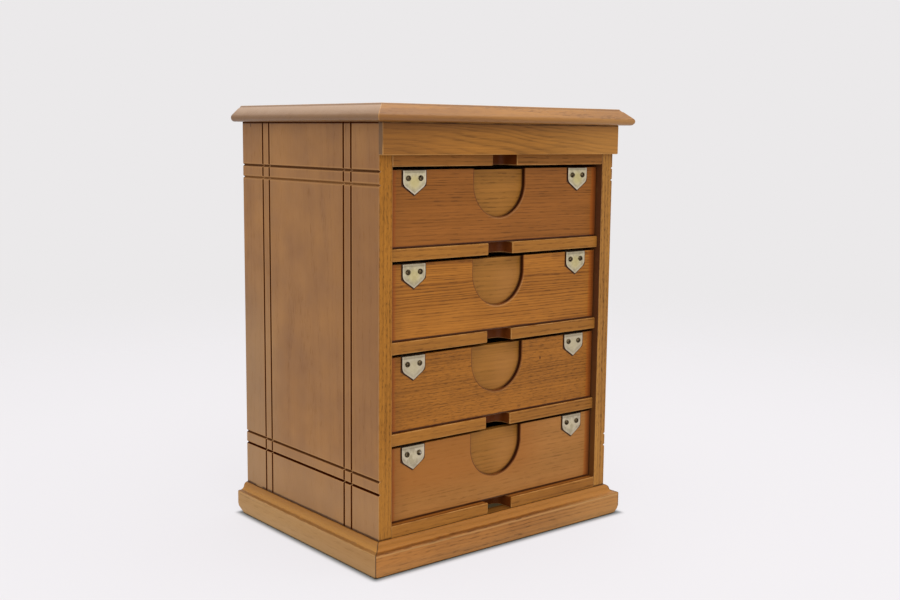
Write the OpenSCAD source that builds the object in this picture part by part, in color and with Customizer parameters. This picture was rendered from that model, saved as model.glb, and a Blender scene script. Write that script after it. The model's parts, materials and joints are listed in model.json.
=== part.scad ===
// Oak desktop file cabinet: four letter drawers in a solid case with grooved sides,
// a moulded top board and mitred base mouldings.
// Millimetres, +Z up, the front faces -Y.
// The origin is the middle of the footprint, on the surface that the cabinet stands on.

/* [Case] */
// Width across the two side panels
case_w = 330; // [290:1:420]
// Depth of the side panels, front edge to back edge
case_d = 266.5; // [240:0.5:340]
// Thickness of a side panel
side_t = 16.5; // [14:0.5:22]
// Height left between the head shelf and the top board
head_h = 31.3; // [26:0.1:50]

/* [Shelves] */
// Thickness of the shelf boards
shelf_t = 12.7; // [10:0.1:16]
// How far the three middle shelves stand back from the case front
shelf_setback = 5; // [0:0.5:7]
// Height of the bottom shelf's front edge that shows above the base moulding
bottom_reveal = 12; // [8:0.5:14]
// Depth of the stopped housings that hold the shelf ends
housing_d = 5; // [3:0.5:7]
// Distance from the case front to the start of the housings
housing_stop = 15; // [10:1:30]

/* [Finger notches] */
// Width of the finger notch in each shelf
notch_w = 34.5; // [26:0.5:50]
// Distance from the case front to the back of the notches
notch_d = 24; // [18:1:36]
// Radius of a notch's two back corners
notch_r = 8; // [3:0.5:12]

/* [Side grooves] */
// Width of a V-groove at the surface
groove_w = 2.8; // [1.5:0.1:4]
// Depth of a V-groove
groove_d = 2; // [1:0.1:3]
// Distance between the two grooves of a pair
groove_pitch = 13.6; // [8:0.1:20]
// First groove from the front edge, from the base moulding and from the top board
groove_edge = 48.5; // [30:0.5:70]
// First groove from the back edge
groove_back_edge = 44.5; // [30:0.5:70]

/* [Top board] */
// Thickness of the top board
top_t = 18; // [14:0.5:24]
// Overhang of the top board at each side
top_side_lip = 15; // [5:0.5:30]
// Overhang of the top board in front of the case
top_front_lip = 20; // [12:0.5:35]
// Width of the moulded edge seen from above
edge_run = 13; // [10:0.5:20]
// Radius of the rounded nose of the edge
nose_r = 4.5; // [3:0.1:5.5]
// Length of the shallow hollow at the upper end of the edge's slope
hollow_run = 5; // [3:0.1:6]
// Depth of that hollow
hollow_d = 0.5; // [0.2:0.05:0.8]

/* [Frieze board] */
// Thickness of the frieze board
frieze_t = 7.5; // [5:0.5:11]
// Height of the frieze board
frieze_h = 32.5; // [32:0.1:40]
// Overhang of the frieze board past each side panel
frieze_side_lip = 1; // [0.5:0.5:4]

/* [Base] */
// Height of the base mouldings
base_h = 34; // [26:0.5:50]
// Thickness of the base mouldings
base_t = 13; // [12:0.5:18]
// Width of the ogee along the top of a moulding
ogee_run = 10; // [7:0.1:10.4]
// Height of the ogee
ogee_drop = 8.7; // [6:0.1:12]
// Radius of the edge below the ogee
arris_r = 1.5; // [0.5:0.1:1.6]
// Radius of the moulding's lower outer edge
foot_r = 2; // [0.5:0.1:4]
// Thickness of the plinth rails
plinth_t = 16; // [12:0.5:20]
// Leg of the triangular corner blocks
block_leg = 22; // [12:1:40]
// Height of the corner blocks' lower ends above the floor
block_lift = 2; // [1:0.5:6]

/* [Back] */
// Thickness of the back boards
back_t = 8; // [6:0.5:12]
// Depth of the rabbet in each side panel for the back boards
rabbet_d = 8; // [6:0.5:10]
// Open joint between neighbouring back boards
back_joint = 0.6; // [0.2:0.1:2]
// Thickness of the tongues
tongue_t = 2.6; // [2:0.1:3.6]
// Reach of the tongues into the neighbouring board
tongue_d = 4; // [2:0.5:6]
// Diameter of the back nails
nail_d = 1.6; // [1:0.1:2.4]
// Length of the back nails under the head
nail_l = 20; // [14:1:28]
// Diameter of a nail's head
nail_head_d = 3.4; // [2.6:0.1:5]
// Thickness of a nail's head
nail_head_t = 0.6; // [0.4:0.1:1]

/* [Top fixing] */
// Width and height of the cleats under the top board
cleat_t = 16; // [12:0.5:20]
// Length of the cleats
cleat_l = 190; // [120:1:220]
// Distance between the two screws of a cleat
cleat_screw_pitch = 130; // [60:1:160]
// Diameter of the cleat screws
cleat_screw_d = 4; // [3:0.1:5]
// How far the cleat screws reach into the top board
cleat_screw_bite = 10; // [6:0.5:12]

/* [Drawers] */
// Clear height of a drawer opening
opening_h = 82.4; // [74:0.1:110]
// Gap above a drawer front
drawer_top_gap = 3.3; // [1.5:0.1:5]
// Gap at each side of a drawer
drawer_side_gap = 1.2; // [0.5:0.1:2.5]
// Running clearance under a drawer
drawer_run_gap = 0.3; // [0.2:0.1:0.8]
// Gap between a drawer and the back boards
drawer_back_gap = 1.5; // [0.5:0.1:6]
// How far the drawer faces stand back from the case front
drawer_setback = 8; // [6:0.5:12]
// Thickness of a drawer's face panel
face_t = 5; // [4:0.1:7]
// Thickness of the box front behind the face panel
box_front_t = 9; // [8:0.1:12]
// Depth of the rabbets that take the drawer sides
box_lap = 5; // [4:0.1:6]
// Thickness of the drawer sides
drawer_side_t = 6.4; // [5.5:0.1:9]
// Thickness of the drawer back
drawer_back_t = 8; // [5:0.1:10]
// Distance of the drawer back from the ends of the sides
drawer_back_inset = 4; // [2:0.5:10]
// Depth of the housings that hold the drawer back
drawer_back_housing = 2; // [1:0.1:3]
// Thickness of the drawer bottom
drawer_bottom_t = 5; // [3:0.1:7]
// Height of the drawer bottom above the lower edge of the sides
drawer_bottom_lift = 4; // [3:0.1:8]
// Depth of the grooves that hold the drawer bottom
drawer_groove_d = 3; // [2:0.1:3.5]

/* [Thumb cut-out] */
// Width of the U-shaped cut-out in a face panel
thumb_w = 72.5; // [50:0.5:80]
// Depth of the cut-out below the top edge of the face panel
thumb_h = 52; // [42:0.5:60]

/* [Shield plates] */
// Width of a shield plate
plate_w = 29; // [24:0.5:34]
// Height of the shield on the drawer face
plate_h = 25.3; // [22:0.1:32]
// Thickness of the plate
plate_t = 1.2; // [0.8:0.1:1.6]
// Angle of the two lower edges below level, in degrees
plate_point_a = 34; // [25:1:45]
// Radius of the two shoulders
plate_r = 8; // [3:0.5:10]
// Distance from the end of the face panel to the middle of a plate
plate_inset = 31.5; // [20:0.5:36]
// Distance between the two screws of a plate
plate_screw_pitch = 15.7; // [11:0.1:18]
// Distance of the screws below the top edge
plate_screw_drop = 8.6; // [6:0.1:12]
// Diameter of the shield screws
screw_d = 2.8; // [2:0.1:3.4]
// Length of the shield screws under the head
screw_l = 12; // [8:0.5:14]
// Diameter of a screw's round head
screw_head_d = 6; // [4.5:0.1:7.5]
// Height of a screw's round head
screw_head_h = 2.2; // [1.4:0.1:2.8]
// Width of a screw's slot
screw_slot_w = 0.9; // [0.6:0.1:1.2]
// Depth of a screw's slot
screw_slot_d = 0.9; // [0.5:0.1:1.2]

/* [Fits] */
// Clearance round the shank of a screw or nail
shank_gap = 0.1; // [0.05:0.05:0.3]

/* [Hidden] */
$fn = 48;
DRAWERS = [1, 2, 3, 4];
SHELVES = [1, 2, 3];
SIDES = [-1, 1];
DRAWER_PIECES = [
    "face", "box_front", "left_side", "right_side",
    "back", "bottom", "shield_plates", "shield_screws"
];

// How far a cut runs past the surface that it opens
past = 1;

// Colours of the finished pieces
case_oak = "#9c6a36";
side_oak = "#85613a";
edge_oak = "#8f5f30";
face_oak = "#a06a33";
box_oak = "#9f7436";
plain_wood = "#b98d56";
nickel = "#c3bda8";
dark_steel = "#4a4038";

// Plan of the case: the box of the whole cabinet is centred on the origin
front_y = (top_front_lip - case_d) / 2;
back_y = front_y + case_d;
back_face_y = back_y - back_t;
inner_w = case_w - 2 * side_t;
top_w = case_w + 2 * top_side_lip;
top_d = case_d + top_front_lip;

// Heights: shelf 0 is the bottom shelf and the last one is the head shelf
head_index = len(DRAWERS);
function shelf_z(index) = base_h + bottom_reveal - shelf_t + index * (opening_h + shelf_t);
plinth_h = shelf_z(0);
head_top_z = shelf_z(head_index) + shelf_t;
case_top = head_top_z + head_h;
frieze_z = case_top - frieze_h;

// Top edge: a slope that runs tangent into the round nose, with a shallow hollow at its upper end
nose_c = [edge_run - nose_r, nose_r - top_t];
slope_a = atan2(nose_c[1], nose_c[0]) + asin(nose_r / norm(nose_c));
slope_dir = [cos(slope_a), sin(slope_a)];
slope_out = [-slope_dir[1], slope_dir[0]];
hollow_r = (hollow_run * hollow_run / 4 + hollow_d * hollow_d) / (2 * hollow_d);
hollow_c = slope_dir * hollow_run / 2 + slope_out * (hollow_r - hollow_d);
hollow_a = asin(hollow_run / (2 * hollow_r));
arc_step = 12;
function arc(centre, radius, from, to) =
    let (steps = ceil(abs(to - from) / arc_step))
    [for (i = [0 : steps]) let (a = from + (to - from) * i / steps) centre + radius * [cos(a), sin(a)]];
edge_points = concat(
    arc(hollow_c, hollow_r, slope_a - 90 - hollow_a, slope_a - 90 + hollow_a),
    arc(nose_c, nose_r, slope_a + 90, -90)
);

// Ogee of the base moulding: two equal arcs that meet half way
ogee_r = (ogee_run * ogee_run + ogee_drop * ogee_drop) / (4 * ogee_drop);

// Back boards: three equal boards from rabbet to rabbet
back_w = inner_w + 2 * rabbet_d;
back_board_w = (back_w - 2 * back_joint) / 3;
back_pitch = back_board_w + back_joint;

// Nails of the back: into the side panels at each opening, and into two shelves and the plinth rail
side_nails = [
    for (side = SIDES) for (index = [0 : head_index - 1])
        [side * (inner_w + rabbet_d) / 2, shelf_z(index) + shelf_t + opening_h / 2]
];
middle_shelf = 2;
row_nails = [
    for (z = [plinth_h / 2, shelf_z(middle_shelf) + shelf_t / 2, shelf_z(head_index) + shelf_t / 2])
        for (board = [-1, 0, 1])
            [board * back_pitch, z]
];
back_points = concat(side_nails, row_nails);

// Drawer box: its own frame starts at the lower front edge of the face panel, in the middle
drawer_w = inner_w - 2 * drawer_side_gap;
drawer_inner_w = drawer_w - 2 * drawer_side_t;
drawer_l = case_d - drawer_setback - back_t - drawer_back_gap;
face_h = opening_h - drawer_run_gap - drawer_top_gap;
box_h = face_h - plate_t;
box_y = face_t + box_front_t;
bottom_top_z = drawer_bottom_lift + drawer_bottom_t;
drawer_back_y = drawer_l - drawer_back_inset - drawer_back_t;
function drawer_z(n) = shelf_z(head_index - n) + shelf_t + drawer_run_gap;

// Shield outline: straight sides, round shoulders and two lower edges to a point
plate_corner = plate_h - plate_w / 2 * tan(plate_point_a);
plate_tangent = plate_r * tan((90 - plate_point_a) / 2);
plate_shoulder = plate_corner - plate_tangent;
plate_turn = [
    plate_w / 2 - plate_tangent * cos(plate_point_a),
    -plate_corner - plate_tangent * sin(plate_point_a)
];
plate_xs = [for (side = SIDES) side * (drawer_w / 2 - plate_inset)];
plate_screw_xs = [for (x = plate_xs) for (side = SIDES) x + side * plate_screw_pitch / 2];
screw_head_r = (screw_head_d * screw_head_d / 4 + screw_head_h * screw_head_h) / (2 * screw_head_h);

// Cleat screws: in the middle of each cleat's width
cleat_x = (inner_w - cleat_t) / 2;
cleat_y = (front_y + back_face_y) / 2;
cleat_screw_xy = [
    for (side = SIDES) for (end = SIDES)
        [side * cleat_x, cleat_y + end * cleat_screw_pitch / 2]
];

// Extrudes an outline drawn as width and height, from the plane y = 0 towards the back
module extrude_y(depth) {
    translate([0, depth, 0])
        rotate([90, 0, 0])
            linear_extrude(depth)
                children();
}

// Extrudes an outline drawn as depth and height, centred across the width
module extrude_x(width) {
    translate([-width / 2, 0, 0])
        rotate([90, 0, 90])
            linear_extrude(width)
                children();
}

// Piece left of a corner when an outer corner is rounded, for cutting; the corner is at the origin
module corner_waste(radius) {
    difference() {
        translate([-radius, -radius])
            square(radius + past);
        translate([-radius, -radius])
            circle(radius);
    }
}

// Section of the top board from front to back: moulded in front, square at the back
module top_section_deep() {
    slope_y = front_y - top_front_lip + edge_run;
    polygon(concat(
        [[back_y, -top_t], [back_y, 0]],
        [for (point = edge_points) [slope_y - point[0], point[1]]]
    ));
}

// Section of the top board across: moulded at both ends
module top_section_wide() {
    slope_x = top_w / 2 - edge_run;
    last = len(edge_points) - 1;
    polygon(concat(
        [for (point = edge_points) [slope_x + point[0], point[1]]],
        [for (i = [last : -1 : 0]) [-slope_x - edge_points[i][0], edge_points[i][1]]]
    ));
}

// Top board: where the two sections cross, the moulded edges meet in mitred corners
module top_board() {
    color(case_oak)
        difference() {
            translate([0, 0, case_top + top_t])
                intersection() {
                    extrude_x(top_w)
                        top_section_deep();
                    translate([0, front_y - top_front_lip, 0])
                        extrude_y(top_d)
                            top_section_wide();
                }
            cleat_screw_shanks(cleat_screw_d + 2 * shank_gap);
        }
}

// Frieze board on the front edges of the side panels
module frieze_board() {
    color(case_oak)
        translate([-case_w / 2 - frieze_side_lip, front_y - frieze_t, frieze_z])
            cube([case_w + 2 * frieze_side_lip, frieze_t, frieze_h]);
}

// Section of a V-groove in a face at x = 0, cut towards -X
module groove_section() {
    wide = groove_w / 2 * (1 + past / groove_d);
    polygon([[past, wide], [-groove_d, 0], [past, -wide]]);
}

// Right side panel: rabbet at the back, stopped housings inside, pairs of grooves outside
module side_panel() {
    difference() {
        translate([inner_w / 2, front_y, 0])
            cube([side_t, case_d, case_top]);
        translate([inner_w / 2 - past, back_face_y, -past])
            cube([rabbet_d + past, back_t + past, case_top + 2 * past]);
        for (index = [0 : head_index])
            translate([inner_w / 2 - past, front_y + housing_stop, shelf_z(index)])
                cube([housing_d + past, back_face_y - front_y - housing_stop, shelf_t]);
        for (step = [0, groove_pitch]) {
            for (y = [front_y + groove_edge + step, back_y - groove_back_edge - step])
                translate([case_w / 2, y, -past])
                    linear_extrude(case_top + 2 * past)
                        groove_section();
            for (z = [base_h + groove_edge + step, case_top - groove_edge - step])
                translate([case_w / 2, front_y - past, z])
                    extrude_y(case_d + 2 * past)
                        groove_section();
        }
        nail_holes(side_nails);
    }
}

module left_side_panel() {
    color(side_oak)
        mirror([1, 0, 0])
            side_panel();
}

module right_side_panel() {
    color(side_oak)
        side_panel();
}

// Plan of the finger notch, open to the front, with two round back corners
module notch_plan() {
    corner_x = notch_w / 2 - notch_r;
    translate([-notch_w / 2, front_y - past])
        square([notch_w, notch_d - notch_r + past]);
    translate([-corner_x, front_y - past])
        square([2 * corner_x, notch_d + past]);
    for (side = SIDES)
        translate([side * corner_x, front_y + notch_d - notch_r])
            circle(notch_r);
}

// Shelf board with its ends in the housings and a finger notch in front
module shelf_board(index, setback) {
    translate([0, 0, shelf_z(index)])
        linear_extrude(shelf_t)
            difference() {
                union() {
                    translate([-inner_w / 2, front_y + setback])
                        square([inner_w, back_face_y - front_y - setback]);
                    translate([-inner_w / 2 - housing_d, front_y + housing_stop])
                        square([inner_w + 2 * housing_d, back_face_y - front_y - housing_stop]);
                }
                notch_plan();
            }
}

module head_shelf() {
    color(edge_oak)
        difference() {
            shelf_board(head_index, 0);
            nail_holes(row_nails);
        }
}

// Shelves count from the top, under drawers 1 to 3
module middle_shelf_board(n) {
    color(edge_oak)
        difference() {
            shelf_board(head_index - n, shelf_setback);
            nail_holes(row_nails);
        }
}

module bottom_shelf() {
    color(edge_oak)
        shelf_board(0, 0);
}

// Plain back board; place is -1, 0 or 1 from the left
module back_board(place) {
    translate([place * back_pitch - back_board_w / 2, back_face_y, 0])
        cube([back_board_w, back_t, case_top]);
}

// The middle board's two tongues, as one strip right across it
module back_tongues() {
    wide = back_board_w + 2 * (back_joint + tongue_d);
    translate([-wide / 2, back_face_y + (back_t - tongue_t) / 2, 0])
        cube([wide, tongue_t, case_top]);
}

// Outer back board, grooved for the middle board's tongue
module back_board_outer(place) {
    color(plain_wood)
        difference() {
            back_board(place);
            back_tongues();
            nail_holes(back_points);
        }
}

module back_board_left() {
    back_board_outer(-1);
}

module back_board_middle() {
    color(plain_wood)
        difference() {
            union() {
                back_board(0);
                back_tongues();
            }
            nail_holes(back_points);
        }
}

module back_board_right() {
    back_board_outer(1);
}

// Nails driven in from the back with their heads flush, at points given as x and z;
// gap widens them into the holes that they sit in
module nails(points, gap) {
    for (point = points)
        translate([point[0], back_y, point[1]])
            rotate([90, 0, 0]) {
                cylinder(d = nail_d + 2 * gap, h = nail_l + nail_head_t);
                cylinder(d = nail_head_d + 2 * gap, h = nail_head_t);
            }
}

module nail_holes(points) {
    nails(points, shank_gap);
}

module back_nails() {
    color(dark_steel)
        nails(back_points, 0);
}

// Plinth rails between the side panels, under the bottom shelf
module plinth_front_rail() {
    color(box_oak)
        translate([-inner_w / 2, front_y, 0])
            cube([inner_w, plinth_t, plinth_h]);
}

module plinth_back_rail() {
    color(plain_wood)
        difference() {
            translate([-inner_w / 2, back_face_y - plinth_t, 0])
                cube([inner_w, plinth_t, plinth_h]);
            nail_holes(row_nails);
        }
}

// Triangular glue blocks in the four inner corners of the plinth
module plinth_corner_blocks() {
    corners = [[front_y + plinth_t, 1], [back_face_y - plinth_t, -1]];
    color(plain_wood)
        for (side = SIDES)
            for (corner = corners)
                translate([side * inner_w / 2, corner[0], block_lift])
                    linear_extrude(plinth_h - block_lift)
                        polygon([[0, 0], [-side * block_leg, 0], [0, corner[1] * block_leg]]);
}

// Section of the base moulding: x runs outwards from the case, y up from the floor
module base_section() {
    half_run = ogee_run / 2;
    half_drop = ogee_drop / 2;
    ogee_z = base_h - ogee_drop;
    difference() {
        union() {
            square([base_t, ogee_z]);
            square([half_run, ogee_z + half_drop]);
            intersection() {
                translate([0, base_h - ogee_r])
                    circle(ogee_r);
                square([half_run, base_h]);
            }
            difference() {
                square([ogee_run, ogee_z + half_drop]);
                translate([ogee_run, ogee_z + ogee_r])
                    circle(ogee_r);
            }
        }
        translate([base_t, ogee_z])
            corner_waste(arris_r);
        translate([base_t, 0])
            mirror([0, 1])
                corner_waste(foot_r);
    }
}

// Moulding along the front, mitred at both ends
module base_front_moulding() {
    half = case_w / 2;
    outer = half + base_t;
    color(case_oak)
        intersection() {
            extrude_x(2 * outer)
                translate([front_y, 0])
                    mirror([1, 0])
                        base_section();
            linear_extrude(base_h)
                polygon([
                    [-half, front_y], [half, front_y],
                    [outer, front_y - base_t], [-outer, front_y - base_t]
                ]);
        }
}

// Moulding along one side, mitred at the front and cut square at the back
module base_side_moulding(side) {
    half = side * case_w / 2;
    outer = half + side * base_t;
    color(side_oak)
        intersection() {
            translate([half, front_y - base_t, 0])
                extrude_y(case_d + base_t)
                    mirror([(1 - side) / 2, 0])
                        base_section();
            linear_extrude(base_h)
                polygon([
                    [half, back_y], [half, front_y],
                    [outer, front_y - base_t], [outer, back_y]
                ]);
        }
}

module base_left_moulding() {
    base_side_moulding(-1);
}

module base_right_moulding() {
    base_side_moulding(1);
}

// Shanks of the screws that go up through the cleats into the top board
module cleat_screw_shanks(diameter) {
    for (point = cleat_screw_xy)
        translate([point[0], point[1], case_top - cleat_t])
            cylinder(d = diameter, h = cleat_t + cleat_screw_bite);
}

// Cleats in the two upper corners of the case
module top_cleats() {
    color(plain_wood)
        difference() {
            for (side = SIDES)
                translate([side * cleat_x - cleat_t / 2, cleat_y - cleat_l / 2, case_top - cleat_t])
                    cube([cleat_t, cleat_l, cleat_t]);
            cleat_screw_shanks(cleat_screw_d + 2 * shank_gap);
        }
}

module top_cleat_screws() {
    color(dark_steel) {
        cleat_screw_shanks(cleat_screw_d);
        for (point = cleat_screw_xy)
            translate([point[0], point[1], case_top - cleat_t])
                rotate([180, 0, 0])
                    screw_head();
    }
}

// Round slotted head, its flat underside on z = 0
module screw_head() {
    difference() {
        rotate_extrude()
            intersection() {
                translate([0, screw_head_h - screw_head_r])
                    circle(screw_head_r);
                square([screw_head_d / 2, screw_head_h]);
            }
        translate([-screw_head_d / 2, -screw_slot_w / 2, screw_head_h - screw_slot_d])
            cube([screw_head_d, screw_slot_w, screw_slot_d + past]);
    }
}

// Puts a piece drawn in the drawer's own frame into its place in the case
module in_drawer(n) {
    translate([0, front_y + drawer_setback, drawer_z(n)])
        children();
}

// Shanks of the shield screws of one drawer, from the plates towards the back
module shield_screw_shanks(diameter) {
    for (x = plate_screw_xs)
        translate([x, -plate_t, face_h - plate_screw_drop])
            rotate([-90, 0, 0])
                cylinder(d = diameter, h = screw_l);
}

// Face panel with the thumb cut-out, and seats for the plates in its top edge
module drawer_face(n) {
    thumb_z = face_h - thumb_h + thumb_w / 2;
    color(face_oak)
        in_drawer(n)
            difference() {
                extrude_y(face_t)
                    difference() {
                        translate([-drawer_w / 2, 0])
                            square([drawer_w, face_h]);
                        translate([-thumb_w / 2, thumb_z])
                            square([thumb_w, face_h]);
                        translate([0, thumb_z])
                            circle(d = thumb_w);
                        for (x = plate_xs)
                            translate([x - plate_w / 2, box_h])
                                square([plate_w, plate_t + past]);
                    }
                shield_screw_shanks(screw_d + 2 * shank_gap);
            }
}

// Front of the drawer box, rabbeted for the sides and grooved for the bottom
module drawer_box_front(n) {
    color(box_oak)
        in_drawer(n)
            difference() {
                translate([-drawer_w / 2, face_t, 0])
                    cube([drawer_w, box_front_t, box_h]);
                for (side = SIDES)
                    translate([side * (drawer_w + past) / 2, box_y - (box_lap - past) / 2, box_h / 2])
                        cube([2 * drawer_side_t + past, box_lap + past, box_h + 2 * past], center = true);
                translate([-drawer_w / 2, box_y - drawer_groove_d, drawer_bottom_lift])
                    cube([drawer_w, drawer_groove_d + past, drawer_bottom_t]);
                shield_screw_shanks(screw_d + 2 * shank_gap);
            }
}

// Right drawer side with the groove for the bottom and the housing for the back
module drawer_side() {
    inner_x = drawer_inner_w / 2;
    side_y = box_y - box_lap;
    difference() {
        translate([inner_x, side_y, 0])
            cube([drawer_side_t, drawer_l - side_y, box_h]);
        translate([inner_x - past, side_y - past, drawer_bottom_lift])
            cube([drawer_groove_d + past, drawer_l + past, drawer_bottom_t]);
        translate([inner_x - past, drawer_back_y, bottom_top_z])
            cube([drawer_back_housing + past, drawer_back_t, box_h]);
    }
}

module drawer_left_side(n) {
    color(plain_wood)
        in_drawer(n)
            mirror([1, 0, 0])
                drawer_side();
}

module drawer_right_side(n) {
    color(plain_wood)
        in_drawer(n)
            drawer_side();
}

// Drawer back, standing on the bottom panel
module drawer_back(n) {
    wide = drawer_inner_w + 2 * drawer_back_housing;
    color(plain_wood)
        in_drawer(n)
            translate([-wide / 2, drawer_back_y, bottom_top_z])
                cube([wide, drawer_back_t, box_h - bottom_top_z]);
}

// Bottom panel, in the grooves of the sides and the box front
module drawer_bottom(n) {
    wide = drawer_inner_w + 2 * drawer_groove_d;
    start = box_y - drawer_groove_d;
    color(plain_wood)
        in_drawer(n)
            translate([-wide / 2, start, drawer_bottom_lift])
                cube([wide, drawer_l - start, drawer_bottom_t]);
}

// Outline of a shield, hanging from its top edge at the origin
module shield_outline() {
    polygon([
        [-plate_w / 2, 0], [plate_w / 2, 0],
        [plate_w / 2, -plate_shoulder], plate_turn,
        [0, -plate_h],
        [-plate_turn[0], plate_turn[1]], [-plate_w / 2, -plate_shoulder]
    ]);
    for (side = SIDES)
        translate([side * (plate_w / 2 - plate_r), -plate_shoulder])
            circle(plate_r);
}

// Section of a plate bent over the top edge of the face panel, which starts at the origin
module plate_section() {
    translate([-plate_t, -plate_h])
        square([plate_t, plate_h - plate_t]);
    translate([0, -plate_t])
        square([box_y, plate_t]);
    intersection() {
        translate([0, -plate_t])
            circle(plate_t);
        translate([-plate_t, -plate_t])
            square(plate_t);
    }
}

module drawer_shield_plates(n) {
    color(nickel)
        in_drawer(n)
            difference() {
                for (x = plate_xs)
                    translate([x, 0, face_h])
                        intersection() {
                            extrude_x(plate_w)
                                plate_section();
                            translate([0, -plate_t, 0])
                                extrude_y(box_y + plate_t)
                                    shield_outline();
                        }
                shield_screw_shanks(screw_d + 2 * shank_gap);
            }
}

module drawer_shield_screws(n) {
    color(dark_steel)
        in_drawer(n) {
            shield_screw_shanks(screw_d);
            for (x = plate_screw_xs)
                translate([x, -plate_t, face_h - plate_screw_drop])
                    rotate([90, 0, 0])
                        screw_head();
        }
}

top_board();
frieze_board();
left_side_panel();
right_side_panel();
head_shelf();
for (n = SHELVES)
    middle_shelf_board(n);
bottom_shelf();
back_board_left();
back_board_middle();
back_board_right();
back_nails();
plinth_front_rail();
plinth_back_rail();
plinth_corner_blocks();
base_front_moulding();
base_left_moulding();
base_right_moulding();
top_cleats();
top_cleat_screws();
for (n = DRAWERS) {
    drawer_face(n);
    drawer_box_front(n);
    drawer_left_side(n);
    drawer_right_side(n);
    drawer_back(n);
    drawer_bottom(n);
    drawer_shield_plates(n);
    drawer_shield_screws(n);
}
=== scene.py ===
# %% [markdown]
# # A golden-oak desktop file cabinet
#
# Four shallow file drawers slide in a solid oak case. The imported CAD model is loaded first, as a fixed frame: it
# says where every board is and which boards move together. Everything below only dresses that frame, so no board
# is moved or resized here.

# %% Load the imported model
import json
import math
from functools import partial

import bmesh
import bpy
from mathutils import Euler, Matrix, Vector

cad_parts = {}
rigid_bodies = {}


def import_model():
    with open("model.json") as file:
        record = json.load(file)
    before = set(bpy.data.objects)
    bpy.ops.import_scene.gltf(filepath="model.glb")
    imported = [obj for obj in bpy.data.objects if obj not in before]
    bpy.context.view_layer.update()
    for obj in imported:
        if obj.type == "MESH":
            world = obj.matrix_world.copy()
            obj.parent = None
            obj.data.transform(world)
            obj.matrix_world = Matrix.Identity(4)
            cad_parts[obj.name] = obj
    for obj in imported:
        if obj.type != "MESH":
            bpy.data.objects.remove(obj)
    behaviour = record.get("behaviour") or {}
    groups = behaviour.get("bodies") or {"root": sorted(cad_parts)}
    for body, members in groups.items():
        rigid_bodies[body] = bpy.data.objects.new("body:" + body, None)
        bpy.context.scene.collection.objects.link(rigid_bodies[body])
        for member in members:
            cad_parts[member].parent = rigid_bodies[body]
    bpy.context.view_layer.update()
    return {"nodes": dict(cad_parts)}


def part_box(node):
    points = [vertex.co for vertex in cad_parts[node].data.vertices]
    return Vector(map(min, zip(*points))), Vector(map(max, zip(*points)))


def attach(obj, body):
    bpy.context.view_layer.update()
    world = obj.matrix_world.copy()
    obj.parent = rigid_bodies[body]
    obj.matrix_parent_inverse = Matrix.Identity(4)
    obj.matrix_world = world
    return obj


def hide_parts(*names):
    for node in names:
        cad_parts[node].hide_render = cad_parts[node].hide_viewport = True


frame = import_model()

scene = bpy.context.scene
scene.view_settings.view_transform = "Standard"
MM = 0.001
DRAWERS = (1, 2, 3, 4)

# %% [markdown]
# ## Camera
#
# The camera stands to the front left of the cabinet, a little below the height of its top. Its place, its axes and
# its lens were fitted to the straight edges of the case, so the render can be laid over the photograph.

# %% Camera
CAMERA_AT = Vector((-0.84708, -1.06910, 0.44690))
CAMERA_RIGHT = Vector((0.7751, -0.6318, 0.0097)).normalized()
CAMERA_UP = Vector((0.0804, 0.1139, 0.9902)).normalized()
LENS_MM = 47.45
SENSOR_MM = 36.0

camera = bpy.data.objects.new("camera", bpy.data.cameras.new("camera"))
camera.data.lens = LENS_MM
camera.data.sensor_fit = "HORIZONTAL"
camera.data.sensor_width = SENSOR_MM
turn = Matrix((CAMERA_RIGHT, CAMERA_UP, CAMERA_RIGHT.cross(CAMERA_UP))).transposed()
camera.matrix_world = Matrix.Translation(CAMERA_AT) @ turn.to_4x4()
scene.collection.objects.link(camera)
scene.camera = camera
print("camera", [round(v, 3) for v in camera.matrix_world.translation])

# %% [markdown]
# ## Small helpers
#
# Shader colours are linear light, but a person picks a colour as an sRGB hex value, so one function converts them.
# Another adds a node: its settings are attributes, and each input takes either a plain value or another node's
# output, which is then linked. It hands back one output, ready to be linked into the next node. Most kinds of node
# start with ShaderNode, which can be left off. Every finish on the cabinet starts from the place of a point on its
# piece, in millimetres, so that patterns can have their real sizes.


# %% Colour and node helpers
def linear(colour):
    """The linear RGBA of an sRGB hex value."""
    channels = [int(colour[i:i + 2], 16) / 255 for i in (1, 3, 5)]
    return [c / 12.92 if c <= 0.04045 else ((c + 0.055) / 1.055) ** 2.4 for c in channels] + [1.0]


def fill(node, inputs):
    """Sets a node's inputs to plain values, or links them to other nodes' outputs."""
    for key, value in (inputs.items() if isinstance(inputs, dict) else enumerate(inputs)):
        if isinstance(value, bpy.types.NodeSocket):
            node.id_data.links.new(value, node.inputs[key])
        else:
            node.inputs[key].default_value = value


def add_node(tree, kind, inputs=(), output=0, **settings):
    """Adds a node with these settings and inputs, and returns the output asked for."""
    node = tree.nodes.new(kind if "Node" in kind else "ShaderNode" + kind)
    for key, value in settings.items():
        setattr(node, key, value)
    fill(node, inputs)
    return node.outputs[output] if len(node.outputs) else None


def new_finish(name):
    """A new material, what adds nodes to it, its shader and the place of a point on the piece (mm)."""
    material = bpy.data.materials.new(name)
    material.use_nodes = True
    add = partial(add_node, material.node_tree)
    place = add("TexCoord", output="Object")
    spot = add("VectorMath", [place, (1 / MM,) * 3], operation="MULTIPLY")
    return material, add, material.node_tree.nodes["Principled BSDF"], spot


print("middle grey is", round(linear("#808080")[0], 3), "in linear light")

# %% [markdown]
# ## Light
#
# A pale room gives a soft, even light from all round. A wide lamp overhead makes the tops brighter, and a wide weak
# lamp on the camera's side keeps the boards under the top's overhang from going dark. The room looks paler than the
# light that it gives, but only to the camera, straight or by way of metal and glass, so the wood is not bleached.

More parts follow.
